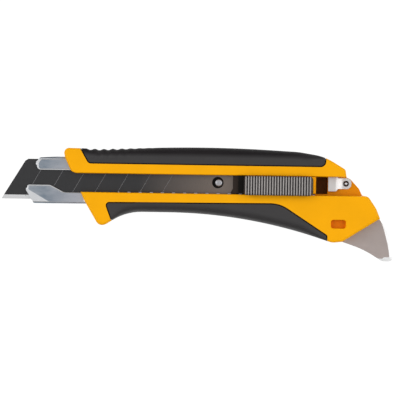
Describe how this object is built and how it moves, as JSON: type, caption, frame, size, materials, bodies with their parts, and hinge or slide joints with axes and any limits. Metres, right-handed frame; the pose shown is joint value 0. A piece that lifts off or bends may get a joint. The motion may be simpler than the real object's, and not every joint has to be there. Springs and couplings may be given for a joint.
{
  "type": "snap-off utility knife",
  "caption": "Snap-off utility knife with a yellow handle, black rubber grips, a steel blade channel, a sliding thumb lock and a metal pick at the tail.",
  "frame": {"origin": "on the flat back of the handle, below the centreline of the blade, halfway along the knife", "axes": "+X from the blade's tip to the tail, +Y from the cutting edge to the spine, +Z from the flat back to the thumb button"},
  "size_m": [0.1767, 0.0499, 0.0206],
  "materials": {
    "handle_plastic": "satin moulded",
    "plug_plastic": "satin moulded",
    "grip_rubber": "fine matt",
    "channel_steel": "rolled stainless",
    "bright_steel": "bright rolled",
    "fastener_steel": "bright",
    "spring_steel": "tempered",
    "carrier_steel": "rolled",
    "pick_steel": "bead-blasted with a ground edge",
    "blade_steel": "black oxide with a ground edge",
    "button_plastic": "moulded",
    "pad_rubber": "moulded, ribbed"
  },
  "bodies": {
    "handle": {"handle_body": "handle_plastic", "upper_grip": "grip_rubber", "lower_grip": "grip_rubber", "blade_channel": "channel_steel", "channel_rivets": "fastener_steel", "metal_pick": "pick_steel", "pick_plug": "plug_plastic", "clip_rivet": "bright_steel"},
    "clip": {"release_clip": "bright_steel"},
    "slide": {"snap_off_blade": "blade_steel", "carrier_plate": "carrier_steel", "blade_stud": "bright_steel", "slider_core": "handle_plastic", "core_rivets": "fastener_steel", "lock_spring": "spring_steel", "lock_spring_rivet": "fastener_steel", "thumb_springs": "spring_steel"},
    "thumb": {"thumb_button": "button_plastic", "thumb_pad": "pad_rubber", "thumb_pin": "fastener_steel"}
  },
  "joints": [
    {"name": "blade_slide", "type": "slide", "parent": "handle", "child": "slide", "axis": [-1, 0, 0], "range_m": [-0.015, 0.06], "deforming": ["lock_spring"]},
    {"name": "thumb_play", "type": "slide", "parent": "slide", "child": "thumb", "axis": [-1, 0, 0], "range_m": [-0.0012, 0.0012], "stiffness_N_per_m": 3000, "deforming": ["thumb_springs"]},
    {"name": "clip_press", "type": "hinge", "parent": "handle", "child": "clip", "pos_m": [0.066, 0, 0.0101], "axis": [0, -1, 0], "range_deg": [0, 8], "stiffness_Nm_per_rad": 0.14, "deforming": ["release_clip"]}
  ]
}
